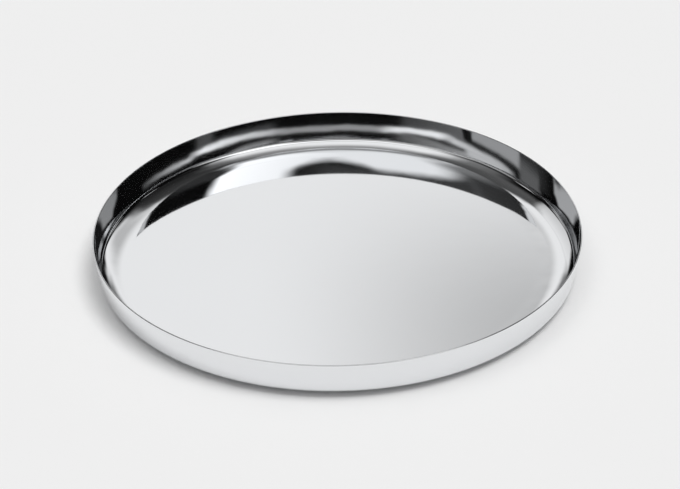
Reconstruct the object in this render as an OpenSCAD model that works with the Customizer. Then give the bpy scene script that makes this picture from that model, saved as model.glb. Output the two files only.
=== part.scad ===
// Round thali plate, pressed from one disc of polished stainless steel sheet.
// The origin is the centre of the flat underside, where it rests, and +Z points up.

/* [Plate] */
// Diameter across the outside of the rim
rim_d = 300; // [220:1:400]
// Height from the resting face to the top of the rim
plate_h = 24.6; // [18:0.1:40]
// Thickness of the steel sheet
sheet = 0.9; // [0.6:0.1:1.5]

/* [Bends] */
// Inside radius of the wide bend that starts at the edge of the flat floor
wide_bend_r = 28.5; // [18:0.5:45]
// Slope of the sheet where the wide bend ends, in degrees up from level
wide_bend_slope = 29; // [15:1:40]
// Inside radius of the tight bend between the wide bend and the wall
tight_bend_r = 3.5; // [2:0.5:12]

/* [Wall] */
// Outward lean of the wall at its foot, in degrees from upright
foot_lean = 12; // [8:0.5:25]
// Outward lean of the wall at the rim, in degrees from upright, less than at its foot
rim_lean = 5; // [0:0.5:7]

/* [Hidden] */
$fn = 180;

// Half the sheet, which is also the radius of the trimmed edge, polished to a full round
half_sheet = sheet / 2;

// Centre of the rounded edge, seen in the section as [radius, height]
edge_centre = [rim_d / 2 - half_sheet, plate_h - half_sheet];

// Slopes of the sheet where the wall starts and ends, in degrees up from level
foot_slope = 90 - foot_lean;
rim_slope = 90 - rim_lean;

// Direction in the section from an arc's centre to where the sheet has this slope
function outward(slope) = [sin(slope), -cos(slope)];

// Step along an arc of radius r, from where it has one slope to where it has another
function arc_step(r, from_slope, to_slope) = r * (outward(to_slope) - outward(from_slope));

// The wall takes at least this share of the height, and shrinks the bends if they need more.
least_wall_share = 0.2;
bends_room = (1 - least_wall_share) * edge_centre.y - half_sheet - half_sheet * (1 - sin(foot_lean));
bends_rise = arc_step(wide_bend_r, 0, wide_bend_slope).y + arc_step(tight_bend_r, wide_bend_slope, foot_slope).y;
bends_share = min(1, bends_room / bends_rise);
wide_r = wide_bend_r * bends_share;
tight_r = tight_bend_r * bends_share;

// The wall is one large arc that starts and ends with the slopes above.
wide_step = arc_step(wide_r + half_sheet, 0, wide_bend_slope);
tight_step = arc_step(tight_r + half_sheet, wide_bend_slope, foot_slope);
wall_rise = edge_centre.y - half_sheet - wide_step.y - tight_step.y;
wall_r = wall_rise / arc_step(1, foot_slope, rim_slope).y - half_sheet;
wall_step = arc_step(wall_r + half_sheet, foot_slope, rim_slope);

// What the bends and the wall leave inside the rim is the flat floor.
floor_r = edge_centre.x - wide_step.x - tight_step.x - wall_step.x;

// Neighbouring arcs meet without a corner, so their centres lie on one line through the seam.
wide_centre = [floor_r, sheet + wide_r];
tight_centre = wide_centre + (wide_r - tight_r) * outward(wide_bend_slope);
wall_centre = tight_centre + (tight_r - wall_r) * outward(foot_slope);

// How far a zone reaches past the sheet that it holds, as a share of the arc's radius
zone_reach_share = 1.5;
wide_reach = (wide_r + sheet) * zone_reach_share;
tight_reach = (tight_r + sheet) * zone_reach_share;
wall_reach = (wall_r + sheet) * zone_reach_share;

// Points outside the sheet, where the seams at the two ends of the tight bend run on to
wide_seam = tight_centre + tight_reach * outward(wide_bend_slope);
wall_seam = tight_centre + tight_reach * outward(foot_slope);

// Each arc of the sheet fills its own zone of the section, and neighbours share the points of a seam.
wide_zone = [
    wide_centre,
    wide_centre + wide_reach * outward(0),
    wide_centre + wide_reach * outward(wide_bend_slope / 2),
    wide_seam,
    tight_centre
];
tight_zone = [
    tight_centre,
    wide_seam,
    tight_centre + tight_reach * outward((wide_bend_slope + foot_slope) / 2),
    wall_seam
];
wall_zone = [
    tight_centre,
    wall_seam,
    wall_centre + wall_reach * outward((foot_slope + rim_slope) / 2),
    wall_centre + wall_reach * outward(rim_slope),
    wall_centre
];

// Middle of the sheet at the seams of the floor, the wide bend, the tight bend and the wall
seams = [
    [floor_r, half_sheet],
    wide_centre + (wide_r + half_sheet) * outward(wide_bend_slope),
    tight_centre + (tight_r + half_sheet) * outward(foot_slope)
];

// A disc inside the sheet covers each seam, and its radius is this share of half the sheet.
seam_cover_share = 0.8;

// A ring one sheet thick, cut to its zone
module arc_section(centre, inner_r, zone) {
    intersection() {
        translate(centre)
            difference() {
                circle(inner_r + sheet);
                circle(inner_r);
            }
        polygon(zone);
    }
}

// The section: flat floor, wide bend, tight bend, wall, the covers of their seams and the rounded edge
module plate_section() {
    square([floor_r, sheet]);
    arc_section(wide_centre, wide_r, wide_zone);
    arc_section(tight_centre, tight_r, tight_zone);
    arc_section(wall_centre, wall_r, wall_zone);
    for (middle = seams)
        translate(middle)
            circle(half_sheet * seam_cover_share);
    translate(edge_centre)
        circle(half_sheet);
}

// The whole pressing, spun from its section
module plate() {
    color([0.80, 0.81, 0.82])
        rotate_extrude()
            plate_section();
}

plate();
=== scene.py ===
# %% [markdown]
# A polished steel thali plate
#
# The object is one disc of stainless steel sheet, pressed into a flat floor, a wide bend, a tight bend
# and a low wall, and polished like a mirror. A mirror has hardly any colour of its own, so three things
# make the picture: the exact shape of the bends, a finish that is nearly perfect, and the studio that
# the plate reflects. This lesson makes them in that order. It starts with the packed part, because all
# that follows is given in its frame: metres, Z up, and the centre of the plate's underside at zero.

# %% Load the packed part
import math

import bpy
import numpy as np
from mathutils import Matrix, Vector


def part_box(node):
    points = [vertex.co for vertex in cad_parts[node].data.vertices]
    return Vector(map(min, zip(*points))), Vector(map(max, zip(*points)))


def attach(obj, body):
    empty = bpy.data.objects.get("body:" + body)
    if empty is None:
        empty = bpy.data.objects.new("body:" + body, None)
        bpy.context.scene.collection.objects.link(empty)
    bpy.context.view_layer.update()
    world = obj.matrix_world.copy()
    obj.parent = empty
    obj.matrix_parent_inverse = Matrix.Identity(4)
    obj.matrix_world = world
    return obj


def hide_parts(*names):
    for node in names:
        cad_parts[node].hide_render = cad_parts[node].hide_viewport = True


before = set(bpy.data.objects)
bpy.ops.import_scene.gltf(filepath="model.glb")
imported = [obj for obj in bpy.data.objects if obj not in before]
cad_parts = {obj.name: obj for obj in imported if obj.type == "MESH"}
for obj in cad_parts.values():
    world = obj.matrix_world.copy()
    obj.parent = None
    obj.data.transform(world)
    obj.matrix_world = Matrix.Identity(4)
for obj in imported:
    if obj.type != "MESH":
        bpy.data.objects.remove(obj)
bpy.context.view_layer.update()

plate_low, plate_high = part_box("plate")
RIM_R = (plate_high.x - plate_low.x) / 2
PLATE_H = plate_high.z
print("CAD nodes", list(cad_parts))
print("rim radius", round(RIM_R * 1000, 1), "mm, height", round(PLATE_H * 1000, 1), "mm")

# %% [markdown]
# The camera
#
# The camera stands in front of the plate, 31.5 degrees above the horizon, and is turned by one degree
# about its own line of sight. A long lens from ten rim radii away keeps the two sides of the rim nearly
# parallel. The aim point is what the middle of the picture shows: it lies in the plane of the rim, a
# little in front of its centre. The camera's axes could be given as three angles, but as vectors they
# are easier to check: a camera looks along its own minus Z, with X to the right and Y up.

# %% Camera
CAMERA_ELEVATION = math.radians(31.48)
CAMERA_ROLL = math.radians(-1.08)
CAMERA_DISTANCE = 1.5
AIM = np.array([0.0015, -0.0194, 0.0246])
PICTURE_W = 680
FOCAL_PIXELS = 2468.6
SENSOR_MM = 36.0


def add_camera():
    """A camera whose forward axis is +Y tipped down, and whose level axes are then turned by the roll."""
    forward = np.array([0, math.cos(CAMERA_ELEVATION), -math.sin(CAMERA_ELEVATION)])
    level_right = np.array([1.0, 0, 0])
    level_up = np.cross(level_right, forward)
    right = math.cos(CAMERA_ROLL) * level_right + math.sin(CAMERA_ROLL) * level_up
    up = math.cos(CAMERA_ROLL) * level_up - math.sin(CAMERA_ROLL) * level_right
    matrix = np.eye(4)
    matrix[:3] = np.column_stack([right, up, -forward, AIM - CAMERA_DISTANCE * forward])
    data = bpy.data.cameras.new("photo_camera")
    data.sensor_width = SENSOR_MM
    data.lens = FOCAL_PIXELS / PICTURE_W * SENSOR_MM
    camera = bpy.data.objects.new("photo_camera", data)
    bpy.context.scene.collection.objects.link(camera)
    camera.matrix_world = Matrix(matrix.tolist())
    bpy.context.scene.camera = camera
    return camera


camera = add_camera()
bpy.context.scene.view_settings.view_transform = "Standard"
print("lens", round(camera.data.lens, 1), "mm, camera at", [round(v, 3) for v in camera.location])

# %% [markdown]
# The section of the sheet
#
# The plate is a body of revolution, so its whole shape is one line: the section of the sheet from the
# centre of the floor, up the inside of the wall, round the polished edge and back under the floor. The
# wide bend gives the long soft reflections, the tight bend the thin bright lines, and the wall is a very
# large arc, which is why the things it mirrors look stretched. A spline drawn by eye would put a bump
# into every reflection, so the line is made of true arcs that meet without a corner. The sizes are those
# of the CAD part.

# %% Section of the sheet
SHEET = 0.0009
EDGE_R = SHEET / 2
WIDE_BEND_R = 0.0285
TIGHT_BEND_R = 0.0035
WIDE_BEND_SLOPE = math.radians(29)
FOOT_LEAN = math.radians(12)
RIM_LEAN = math.radians(5)
FOOT_SLOPE = math.pi / 2 - FOOT_LEAN
RIM_SLOPE = math.pi / 2 - RIM_LEAN
WIDE_STEPS = 40
TIGHT_STEPS = 32
WALL_STEPS = 48


def outward(slope):
    """Direction from an arc's centre to the sheet, where the sheet has this slope: (sine, minus cosine)."""
    return np.stack([np.sin(slope), -np.cos(slope)], axis=-1)


def arc_step(r, from_slope, to_slope):
    """Step in the section along an arc: its radius times the change of the outward direction."""
    return r * (outward(to_slope) - outward(from_slope))


def sheet_section():
    """Radius of the flat floor, the arcs of the sheet, and the centre of the rounded edge.

    The steps follow the middle of the sheet. The wall's arc takes the rise that the bends leave it, and
    the floor takes the radius that all three arcs leave it. An arc is a tuple of its centre, its inner
    radius, its slopes at both ends and its number of steps."""
    edge = np.array([RIM_R - EDGE_R, PLATE_H - EDGE_R])
    wide = arc_step(WIDE_BEND_R + EDGE_R, 0, WIDE_BEND_SLOPE)
    tight = arc_step(TIGHT_BEND_R + EDGE_R, WIDE_BEND_SLOPE, FOOT_SLOPE)
    wall_rise = edge[1] - EDGE_R - wide[1] - tight[1]
    wall_r = wall_rise / arc_step(1, FOOT_SLOPE, RIM_SLOPE)[1] - EDGE_R
    wall = arc_step(wall_r + EDGE_R, FOOT_SLOPE, RIM_SLOPE)
    floor_r = edge[0] - wide[0] - tight[0] - wall[0]
    wide_centre = np.array([floor_r, SHEET + WIDE_BEND_R])
    tight_centre = wide_centre + (WIDE_BEND_R - TIGHT_BEND_R) * outward(WIDE_BEND_SLOPE)
    wall_centre = tight_centre + (TIGHT_BEND_R - wall_r) * outward(FOOT_SLOPE)
    arcs = [
        (wide_centre, WIDE_BEND_R, 0, WIDE_BEND_SLOPE, WIDE_STEPS),
        (tight_centre, TIGHT_BEND_R, WIDE_BEND_SLOPE, FOOT_SLOPE, TIGHT_STEPS),
        (wall_centre, wall_r, FOOT_SLOPE, RIM_SLOPE, WALL_STEPS),
    ]
    return floor_r, arcs, edge


FLOOR_R, ARCS, EDGE_CENTRE = sheet_section()
WALL_R = ARCS[-1][1]
print("flat floor", round(FLOOR_R * 1000, 2), "mm in radius, wall arc", round(WALL_R * 1000, 1), "mm")

# %% [markdown]
# Points and normals along the section
#
# The arcs are sampled more finely than the flat floor, and every sample keeps its exact normal. In a
# mirror the eye sees the normals and not the points. Normals averaged from the faces would make the
# reflections wobble at every ring, so they are worked out here from the same slopes as the points.

# %% Points and normals of the section
FLOOR_RINGS = 12
EDGE_STEPS = 10
INNER_FACE = -1
OUTER_FACE = 1


def section_side(depth, face):
    """Points and normals of one face of the sheet, from a step off the floor's centre to the rim.

    Depth is how far the face lies under the inner one. Each arc is its centre plus (inner radius plus
    depth) times the outward direction, and its normal is that direction, turned round on the inner face."""
    radii = np.linspace(0, FLOOR_R, FLOOR_RINGS + 1)[1:]
    points = [np.column_stack([radii, np.full(FLOOR_RINGS, SHEET - depth)])]
    normals = [np.tile([0.0, -face], (FLOOR_RINGS, 1))]
    for centre, r, start, end, steps in ARCS:
        slopes = np.linspace(start, end, steps + 1)[1:]
        points.append(centre + (r + depth) * outward(slopes))
        normals.append(face * outward(slopes))
    return np.vstack(points), np.vstack(normals)


def plate_section():
    """The whole line: the inner face outwards, half a turn round the edge, then the outer face inwards.

    On the edge, the normal is the cosine of the turn times the inner face's normal plus its sine times
    the wall's own direction, and a point is the edge's centre plus its radius times the normal."""
    inner, inner_normals = section_side(0.0, INNER_FACE)
    outer, outer_normals = section_side(SHEET, OUTER_FACE)
    turn = np.linspace(0, np.pi, EDGE_STEPS + 1)[1:-1, None]
    wall_direction = np.array([math.cos(RIM_SLOPE), math.sin(RIM_SLOPE)])
    edge_normals = INNER_FACE * np.cos(turn) * outward(RIM_SLOPE) + np.sin(turn) * wall_direction
    edge = EDGE_CENTRE + EDGE_R * edge_normals
    points = np.vstack([inner, edge, outer[::-1]])
    normals = np.vstack([inner_normals, edge_normals, outer_normals[::-1]])
    return points, normals


section_points, section_normals = plate_section()
print("section", len(section_points), "points")

# %% [markdown]
# The surface of the plate
#
# A Screw modifier could turn the line about the axis, but it would lose the exact normals. As an array,
# the turn is one operation on all points at once, and the normals turn in the same way. They go into the
# mesh as custom normals. The line starts and ends a step away from the axis, and one pole point closes
# each end.

# %% Plate mesh
TURN_STEPS = 320


def turned(line):
    """A line of radius and height, turned about Z: radius times cosine, radius times sine, height."""
    angle = np.arange(TURN_STEPS) * 2 * np.pi / TURN_STEPS
    grid = np.empty((len(line), TURN_STEPS, 3))
    grid[:, :, 0] = line[:, :1] * np.cos(angle)
    grid[:, :, 1] = line[:, :1] * np.sin(angle)
    grid[:, :, 2] = line[:, 1:]
    return grid.reshape(-1, 3)


def ring_quads(rings, steps):
    """Corner numbers of the faces between each ring and the next, where every ring closes on itself."""
    first, step = np.meshgrid(np.arange(rings - 1) * steps, np.arange(steps), indexing="ij")
    here, following = first + step, first + (step + 1) % steps
    return np.stack([here, following, following + steps, here + steps], axis=-1).reshape(-1, 4)


def pole_cap(pole, first, steps):
    """Corner numbers of the triangles from a pole to the ring that starts at the corner first."""
    step = np.arange(steps)
    return np.stack([np.full(steps, pole), first + step, first + (step + 1) % steps], axis=-1)


def revolve(points, normals, name):
    """A closed mesh: the section turned about Z, a pole at its start on top and one at its end below."""
    last_ring = (len(points) - 1) * TURN_STEPS
    top_pole = len(points) * TURN_STEPS
    vertices = np.vstack([turned(points), [0, 0, points[0, 1]], [0, 0, points[-1, 1]]])
    vertex_normals = np.vstack([turned(normals), [0, 0, 1], [0, 0, -1]])
    faces = ring_quads(len(points), TURN_STEPS)[:, ::-1].tolist()
    faces += pole_cap(top_pole, 0, TURN_STEPS).tolist()
    faces += pole_cap(top_pole + 1, last_ring, TURN_STEPS)[:, ::-1].tolist()
    mesh = bpy.data.meshes.new(name)
    mesh.from_pydata(vertices.tolist(), [], faces)
    mesh.shade_smooth()
    mesh.normals_split_custom_set_from_vertices(vertex_normals.tolist())
    mesh.validate()
    return mesh


def add_piece(mesh):
    """An object of the mesh's name in the scene, at the origin, because the mesh holds its place."""
    piece = bpy.data.objects.new(mesh.name, mesh)
    bpy.context.scene.collection.objects.link(piece)
    return piece


plate = add_piece(revolve(section_points, section_normals, "polished_plate"))
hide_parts("plate")
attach(plate, "root")
print("plate", len(plate.data.polygons), "faces")

# %% [markdown]
# Shader maths as expressions
#
# A material is a formula, and placing its nodes one by one hides that formula. So one small class wraps
# a socket, and each of its operators adds one Math node. Every other node comes from one method, which
# makes the node's settings first, because they decide which sockets it has. A socket is given by its
# name or its number.

# %% Shader maths
class Nodes:
    """The node tree of a material or of the world, emptied, and then filled by one method."""

    def __init__(self, owner):
        owner.use_nodes = True
        owner.node_tree.nodes.clear()
        self.tree = owner.node_tree

    def add(self, kind, settings=None, inputs=None, output=0):
        """A node with its settings, then its inputs as links or plain numbers. Returns one output."""
        node = self.tree.nodes.new(kind)
        for key, setting in (settings or {}).items():
            setattr(node, key, setting)
        for key, given in (inputs or {}).items():
            if isinstance(given, Value):
                self.tree.links.new(given.socket, node.inputs[key])
            else:
                node.inputs[key].default_value = given
        return Value(self, node.outputs[output]) if node.outputs else None

    def split(self, vector):
        """The three parts of a vector."""
        first = self.add("ShaderNodeSeparateXYZ", None, {"Vector": vector})
        return [Value(self, socket) for socket in first.socket.node.outputs]

    def end(self, shader, inputs, output="ShaderNodeOutputMaterial"):
        """The shader itself, and the output node that it feeds."""
        self.add(output, None, {"Surface": self.add(shader, None, inputs)})


class Value:
    """One output socket, with arithmetic that adds Math nodes."""

    def __init__(self, nodes, socket):
        self.nodes = nodes
        self.socket = socket

    def maths(self, operation, *others):
        """One Math node, with this value as its first input."""
        return self.nodes.add("ShaderNodeMath", {"operation": operation}, dict(enumerate((self, *others))))

    def reflected(self, operation, other):
        """One Math node, with this value as its second input, as in 1 - mask."""
        return self.nodes.add("ShaderNodeMath", {"operation": operation}, {0: other, 1: self})

    def __add__(self, other):
        return self.maths("ADD", other)

    def __sub__(self, other):
        return self.maths("SUBTRACT", other)

    def __mul__(self, other):
        return self.maths("MULTIPLY", other)

    def __truediv__(self, other):
        return self.maths("DIVIDE", other)

    def __rsub__(self, other):
        return self.reflected("SUBTRACT", other)

    def __rtruediv__(self, other):
        return self.reflected("DIVIDE", other)

    __radd__ = __add__
    __rmul__ = __mul__


def smooth_step(value, start, end, low=0.0, high=1.0):
    """Low before start, high after end, and a smooth S between them."""
    inputs = {"Value": value, "From Min": start, "From Max": end, "To Min": low, "To Max": high}
    return value.nodes.add("ShaderNodeMapRange", {"interpolation_type": "SMOOTHSTEP"}, inputs)


print("reflected operators", [name for name in vars(Value) if name.startswith("__r")])

# %% [markdown]
# The polished steel
#
# Stainless steel is a grey metal with a faintly cool tint. The polish is close to a mirror, but not
# quite. A buffing wheel leaves marks that run round the plate, so one noise follows the distance from
# the centre alone. Hands and cloths leave faint cloudy patches, which change the roughness and the
# colour by a little. Pressing leaves the bends and the wall slightly wavy, and the flat floor much less.
# The waves are only some hundredths of a millimetre high, but a mirror shows them as a tremble in its
# thin bright lines. A pattern of scratches was left out, because the polish shows none.

# %% Steel material
CLEAN_STEEL = (0.838, 0.848, 0.863, 1)
HANDLED_STEEL = (0.828, 0.838, 0.850, 1)
MIRROR_ROUGHNESS = 0.035
CLOUDS = {"Scale": 14.0, "Detail": 3.0, "Roughness": 0.6}
CLOUD_ROUGHNESS = 0.02
BUFFING = {"Scale": 900.0, "Detail": 2.0, "Roughness": 0.7}
BUFF_ROUGHNESS = 0.012
WAVES = {"Scale": 55.0, "Detail": 1.5, "Roughness": 0.5}
WAVE_HEIGHT = 0.00009
# The flat floor has this share of the waves' height, out to the next share of its radius.
FLOOR_WAVES = 0.15
CALM_FLOOR_SHARE = 0.93
# The Mix node has a set of sockets for each kind of data, and these are the ones that mix colours.
MIX_FACTOR, MIX_FIRST, MIX_SECOND, MIX_RESULT = 0, 6, 7, 2


def polished_steel():
    """Mirror steel. Roughness is mirror plus clouds plus buffing, and the bump is waves times their share."""
    material = bpy.data.materials.new("polished_steel")
    nodes = Nodes(material)
    place = nodes.add("ShaderNodeTexCoord", output="Object")
    distance = nodes.add("ShaderNodeVectorMath", {"operation": "LENGTH"}, {0: place}, output="Value")
    clouds = nodes.add("ShaderNodeTexNoise", {"noise_dimensions": "3D"}, {"Vector": place, **CLOUDS})
    buffing = nodes.add("ShaderNodeTexNoise", {"noise_dimensions": "1D"}, {"W": distance, **BUFFING})
    waves = nodes.add("ShaderNodeTexNoise", {"noise_dimensions": "3D"}, {"Vector": place, **WAVES})
    share = smooth_step(distance, FLOOR_R * CALM_FLOOR_SHARE, FLOOR_R, FLOOR_WAVES)
    colours = {MIX_FACTOR: clouds, MIX_FIRST: CLEAN_STEEL, MIX_SECOND: HANDLED_STEEL}
    nodes.end("ShaderNodeBsdfPrincipled", {
        "Base Color": nodes.add("ShaderNodeMix", {"data_type": "RGBA"}, colours, MIX_RESULT),
        "Metallic": 1.0,
        "Roughness": MIRROR_ROUGHNESS + CLOUD_ROUGHNESS * clouds + BUFF_ROUGHNESS * buffing,
        "Normal": nodes.add("ShaderNodeBump", None, {"Height": waves * share, "Distance": WAVE_HEIGHT}),
    })
    return material


steel = polished_steel()
plate.data.materials.append(steel)
print("steel", len(steel.node_tree.nodes), "nodes")

# %% [markdown]
# The floor under the plate
#
# The plate lies on a plain pale sheet that reaches far past the picture. It is a matt surface that takes
# the plate's shadow, and it is pale enough to be the background too. A curved backdrop isn't needed,
# because the horizon never shows in the picture.

# %% Floor
FLOOR_SIZE = 12.0
FLOOR_SHADE = 0.86


def add_floor():
    """One square face, centred under the plate."""
    half = FLOOR_SIZE / 2
    mesh = bpy.data.meshes.new("floor")
    corners = [(-half, -half, 0), (half, -half, 0), (half, half, 0), (-half, half, 0)]
    mesh.from_pydata(corners, [], [(0, 1, 2, 3)])
    material = bpy.data.materials.new("pale_floor")
    Nodes(material).end("ShaderNodeBsdfDiffuse", {"Color": (FLOOR_SHADE, FLOOR_SHADE, FLOOR_SHADE, 1)})
    mesh.materials.append(material)
    floor = add_piece(mesh)
    return floor


floor = add_floor()
print(floor.name, FLOOR_SIZE, "m across")

# %% [markdown]
# The light on the floor
#
# Matt surfaces are lit by a pale sky, which is brighter overhead as under a white ceiling, and by two
# broad soft lamps high at the right and the left. This leaves a dark line under the front of the plate
# and only a faint shade beside it. All the light adds up to one, so a colour renders as it is written. The
# camera sees the sky in the floor's own brightness, so the ground and the background run into one another.

# %% Sky and soft lamps
WHITE = (1, 1, 1, 1)
SKY_OVERHEAD = 1.5
RIGHT_SHARE = 0.42
RIGHT_AZIMUTH = math.radians(120)
LEFT_SHARE = 0.08
LEFT_AZIMUTH = math.radians(265)
LAMP_ELEVATION = math.radians(70)
LAMP_SPREAD = math.radians(30)


def sky_light(height):
    """The sky's light from a direction: the light overhead times height, the sine of the elevation.

    Added up over the sky, it lights level ground as an even sky of strength 1 does."""
    return height.maths("MAXIMUM", 0.0) * SKY_OVERHEAD


def add_sky(share):
    """A sky of this share of all light, but for the camera, which sees it as bright as the lit floor."""
    world = bpy.data.worlds.new("pale_sky")
    bpy.context.scene.world = world
    nodes = Nodes(world)
    height = nodes.split(nodes.add("ShaderNodeTexCoord", output="Generated"))[2]
    light = sky_light(height) * share
    seen = nodes.add("ShaderNodeLightPath", output="Is Camera Ray")
    strength = light + seen * (FLOOR_SHADE - light)
    nodes.end("ShaderNodeBackground", {"Color": WHITE, "Strength": strength}, "ShaderNodeOutputWorld")


def add_soft_lamp(name, azimuth, share):
    """A distant lamp with a wide spread, which the plate doesn't mirror.

    On level ground it gives its strength times the sine of its elevation over pi. It is tipped from
    straight above down to its elevation, and turned round Z to its azimuth."""
    lamp = bpy.data.lights.new(name, "SUN")
    lamp.energy = share * math.pi / math.sin(LAMP_ELEVATION)
    lamp.angle = LAMP_SPREAD
    holder = bpy.data.objects.new(name, lamp)
    bpy.context.scene.collection.objects.link(holder)
    holder.rotation_euler = (math.pi / 2 - LAMP_ELEVATION, 0, math.pi - azimuth)
    holder.visible_glossy = False
    print(name, round(lamp.energy, 2), "watts per square metre")


add_sky(1 - RIGHT_SHARE - LEFT_SHARE)
add_soft_lamp("right_lamp", RIGHT_AZIMUTH, RIGHT_SHARE)
add_soft_lamp("left_lamp", LEFT_AZIMUTH, LEFT_SHARE)

# %% [markdown]
# The studio that the plate mirrors
#
# A mirror shows the room, so the room is part of the finish. A modelled room would take many pieces, and
# a photographed one would need an image, so this room is a dome of soft cards, painted by a formula. Only
# mirror rays see it. Azimuth 0 is straight behind the plate, 90 is to the right and 180 is behind the
# camera. Each card covers a range of azimuth and of elevation in degrees, has soft borders, and lies over
# the cards before it.

# %% Dome mesh
DOME_R = 2.1
DOME_STEPS = 96
DOME_RINGS = 36
DOME_LOWEST = math.radians(-4)


def dome_mesh():
    """A little more than half a sphere round the middle of the rim.

    A point lies the radius times the cosine of its elevation across, and times the sine up."""
    elevation = np.linspace(DOME_LOWEST, np.pi / 2, DOME_RINGS + 1)[:-1, None]
    azimuth = np.arange(DOME_STEPS) * 2 * np.pi / DOME_STEPS
    across = DOME_R * np.cos(elevation)
    height = np.broadcast_to(DOME_R * np.sin(elevation), (DOME_RINGS, DOME_STEPS))
    points = np.stack([across * np.sin(azimuth), across * np.cos(azimuth), height], axis=-1).reshape(-1, 3)
    vertices = np.vstack([points, [0, 0, DOME_R]]) + [0, 0, PLATE_H]
    last_ring = (DOME_RINGS - 1) * DOME_STEPS
    faces = ring_quads(DOME_RINGS, DOME_STEPS).tolist()
    faces += pole_cap(len(points), last_ring, DOME_STEPS).tolist()
    mesh = bpy.data.meshes.new("studio_dome")
    mesh.from_pydata(vertices.tolist(), [], faces)
    return mesh


dome = add_piece(dome_mesh())
print("dome", len(dome.data.polygons), "faces")

# %% [markdown]
# How a card is painted
#
# A card is a mask that is 1 inside it and 0 outside, with a smooth S across its borders. Where the mask
# is 1, the card's light replaces what was there. Bent and tilted cards are needed, because a straight
# edge in the room runs over the dome as a curve.

# %% Card painter
DARK = 0.002
HALF_TURN = 180.0


class Studio:
    """The dome's light as one value, painted card by card on a dark room."""

    def __init__(self, nodes):
        x, y, z = nodes.split(nodes.add("ShaderNodeTexCoord", output="Object"))
        above = z - PLATE_H
        self.nodes = nodes
        self.azimuth = x.maths("ARCTAN2", y) * math.degrees(1)
        self.elevation = above.maths("ARCTAN2", (x * x + y * y).maths("SQRT")) * math.degrees(1)
        self.height = above / DOME_R
        self.light = DARK
        self.cards = 0

    def card(self, azimuth, elevation, light, soft, bow=0.0, tilt=0.0):
        """One card: the light becomes light plus mask times (the card's light minus light).

        Azimuth and elevation are ranges in degrees, and soft is half the width of their blurred borders.
        Bow lifts both ends of the card by so many degrees. Tilt lifts the end of higher azimuth and
        lowers the other. A pair of lights fades from the end of lower azimuth to the other."""
        reach, half = (azimuth[1] - azimuth[0]) / 2, (elevation[1] - elevation[0]) / 2
        turn = (self.azimuth - sum(azimuth) / 2).maths("WRAP", HALF_TURN, -HALF_TURN)
        along = self.nodes.add("ShaderNodeClamp", None, {"Value": turn / reach, "Min": -1.0, "Max": 1.0})
        height = self.elevation - sum(elevation) / 2 - along * along * bow - along * tilt
        beside = smooth_step(turn.maths("ABSOLUTE"), reach - soft[0], reach + soft[0], 1.0, 0.0)
        within = smooth_step(height.maths("ABSOLUTE"), half - soft[1], half + soft[1], 1.0, 0.0)
        if isinstance(light, tuple):
            light = sum(light) / 2 + along * ((light[1] - light[0]) / 2)
        self.light = self.light + beside * within * (light - self.light)
        self.cards += 1


print("a dark room of light", DARK)

# %% [markdown]
# The room above the plate
#
# At the back of the plate, the wide bend starts where the floor's view ends and carries it up over the
# ceiling, and the tight bend squeezes the diffuser and the stand into its thin lines. Farther round, each
# bend shows the side of the room across from it. So the room above the plate needs few cards, and most
# of them are large.

# %% Upper cards
# Wider than a full turn, so that no end shows
ALL_ROUND = (-200, 200)


def paint_left_wall(studio):
    """A dark wall on the left, and a haze over it that pales upwards and to the left."""
    studio.card((-128, -60), (16, 64), light=(0.06, 0.03), soft=(8, 3))
    studio.card((-112, -14), (53, 76), light=(0.28, 0.13), soft=(16, 6))


def paint_ceiling(studio):
    """A white ceiling, and under it the grey wall and the dark gap over the backdrop."""
    studio.card(ALL_ROUND, (64, 116), light=0.95, soft=(1, 5))
    studio.card((-22, 32), (46, 72), light=0.27, soft=(16, 7))
    studio.card((-30, 42), (40, 60), light=(0.10, 0.008), soft=(6, 5))


def paint_diffuser(studio):
    """A large white diffuser above and behind the camera: its left part, the upper and the lower half of
    its right part, and its frame."""
    studio.card((150, 254), (38, 72), light=(1.1, 1.05), soft=(16, 3), bow=-5)
    studio.card((99, 184), (59, 72), light=(1.5, 1.1), soft=(6, 3), bow=-5)
    studio.card((106, 184), (38, 62), light=(1.5, 1.05), soft=(4, 4), bow=-5)
    studio.card((90, 270), (77, 82), light=0.3, soft=(6, 2.5), bow=-12)


def paint_flag(studio):
    """A black flag on the right, and the faint sheen of the room over its upper end."""
    studio.card((48, 95), (-10, 61), light=0.003, soft=(3, 3))
    studio.card((66, 106), (50, 62), light=0.035, soft=(5, 4))


def paint_stand(studio):
    """The dark camera stand, and the dark lower border of the diffuser beside it."""
    studio.card((153, 204), (20, 51.8), light=0.014, soft=(6, 3), bow=-6, tilt=-1.2)
    studio.card((170, 268), (20, 44.6), light=0.05, soft=(10, 2.5), bow=4)


UPPER_PAINTERS = [paint_left_wall, paint_ceiling, paint_diffuser, paint_flag, paint_stand]
print("painters above the plate", len(UPPER_PAINTERS))

# %% [markdown]
# The room beside and behind the plate
#
# The flat floor mirrors what lies behind the plate at the camera's own angle above the horizon, and that
# is the pale backdrop. The wall is so upright that it sends the view down to the floor and up again, so
# it shows what lies low behind the camera: a long light strip over dark ground. These cards are narrow,
# because the wall's large arc stretches them upwards in the picture.

# %% Lower cards
def paint_backdrop(studio):
    """The pale backdrop: its shaded left end, its middle, its shaded upper right part, the grey ground
    before it, and a small bright card far out on each side."""
    studio.card((-34, -12), (22, 41), light=(0.58, 0.9), soft=(2, 2), bow=-2)
    studio.card((-13, 28), (21, 41.2), light=0.93, soft=(2.5, 2), bow=-1.5, tilt=-1.5)
    studio.card((3, 27), (30, 41), light=0.54, soft=(8, 4))
    studio.card((-12, 12), (-2, 24), light=0.2, soft=(4, 3))
    studio.card((54, 59.5), (37, 44), light=0.6, soft=(1, 1))
    studio.card((-61, -52), (36, 44), light=0.8, soft=(1.5, 1))


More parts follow.
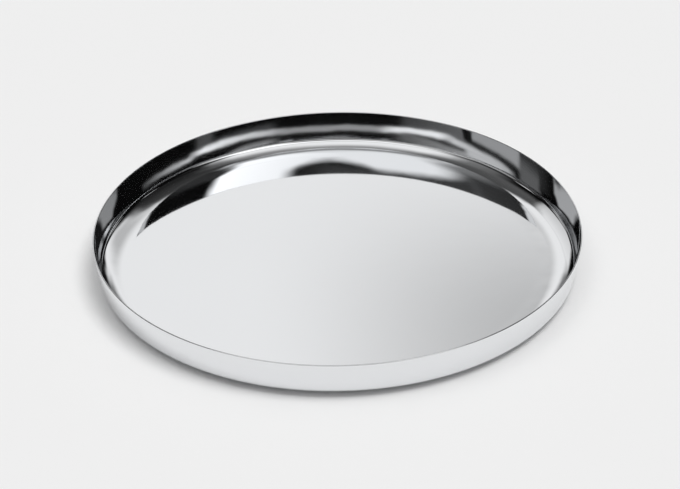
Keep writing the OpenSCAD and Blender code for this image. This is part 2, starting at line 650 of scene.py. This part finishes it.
def paint_room_behind_camera(studio):
    """The dark lower part of the room with three faint sheens, and the pale wall above it."""
    studio.card((104, 256), (-20, 37), light=DARK, soft=(4, 4))
    studio.card((109, 118), (13, 22), light=0.08, soft=(2.5, 2))
    studio.card((118, 150), (12, 16.2), light=0.05, soft=(4, 1.5))
    studio.card((212, 247), (13.5, 24), light=(0.05, 0.15), soft=(3, 2))
    studio.card((104, 256), (23, 36), light=0.7, soft=(4, 1.5))


def paint_panels(studio):
    """A grey panel at each side of the backdrop, and the dark edge under its right part."""
    studio.card((-52, -38), (11, 24), light=0.45, soft=(1.5, 1.5))
    studio.card((16, 44), (8, 23.5), light=0.01, soft=(4, 1.5))
    studio.card((40, 49), (12, 25), light=0.3, soft=(1.5, 1.5))


def paint_window(studio):
    """A grey window on the left, a fainter pane on its backdrop side and a dark post on its other side."""
    studio.card((-110.5, -80), (16.5, 30), light=0.38, soft=(1, 1))
    studio.card((-81, -66), (11, 20), light=0.13, soft=(2, 3))
    studio.card((-115.5, -110.5), (15, 22), light=0.004, soft=(1, 1))


def paint_ground(studio):
    """The dark ground all round, and the glow of the strip on it, right and left of the camera."""
    studio.card(ALL_ROUND, (-90, 8), light=DARK, soft=(1, 1))
    studio.card((128, 150), (3, 7.5), light=0.3, soft=(5, 1.5))
    studio.card((209, 256), (2, 9.5), light=(0.08, 0.42), soft=(4, 1))


def paint_strip(studio):
    """The light strip: its thin right end, its grey middle, its two bright parts, and its left end with
    a second light under it."""
    studio.card((72, 106), (13.3, 15.1), light=(0, 0.75), soft=(3, 0.7), tilt=-1.9)
    studio.card((148, 212), (8.5, 11.5), light=0.35, soft=(6, 0.8), bow=1)
    studio.card((108, 152), (11.4, 14.1), light=(1.25, 0.55), soft=(6, 0.8), tilt=-1.2, bow=-0.4)
    studio.card((204, 236), (10.6, 13.6), light=(1.0, 1.15), soft=(6, 0.9), tilt=1.2)
    studio.card((236, 274), (10.9, 13.7), light=(0.75, 0.5), soft=(4, 1), tilt=-0.3)
    studio.card((246, 268), (8.6, 11.6), light=0.6, soft=(2.5, 1))


LOWER_PAINTERS = [
    paint_backdrop, paint_room_behind_camera, paint_panels, paint_window, paint_ground, paint_strip,
]
print("painters beside and behind the plate", len(LOWER_PAINTERS))

# %% [markdown]
# Light the dome
#
# The painters run in the order in which the cards lie over one another. The camera, matt surfaces and
# shadows don't see the dome. A ray that met the floor before the plate sees the sky's light in its
# place, so that the bright cards don't reach the floor by way of the plate. The dome isn't sampled as
# a lamp, because mirror rays find it by themselves.

# %% Studio light
def light_dome(dome):
    """Gives the dome its light: the cards, or the sky for rays that a matt surface passed on."""
    material = bpy.data.materials.new("studio_cards")
    nodes = Nodes(material)
    studio = Studio(nodes)
    for paint in UPPER_PAINTERS + LOWER_PAINTERS:
        paint(studio)
    passed_on = nodes.add("ShaderNodeLightPath", output="Diffuse Depth").maths("MINIMUM", 1.0)
    strength = studio.light + passed_on * (sky_light(studio.height) - studio.light)
    nodes.end("ShaderNodeEmission", {"Color": WHITE, "Strength": strength})
    material.cycles.emission_sampling = "NONE"
    dome.data.materials.append(material)
    dome.visible_camera = False
    dome.visible_diffuse = False
    dome.visible_shadow = False
    return studio


studio = light_dome(dome)
print("studio", studio.cards, "cards")

# %% [markdown]
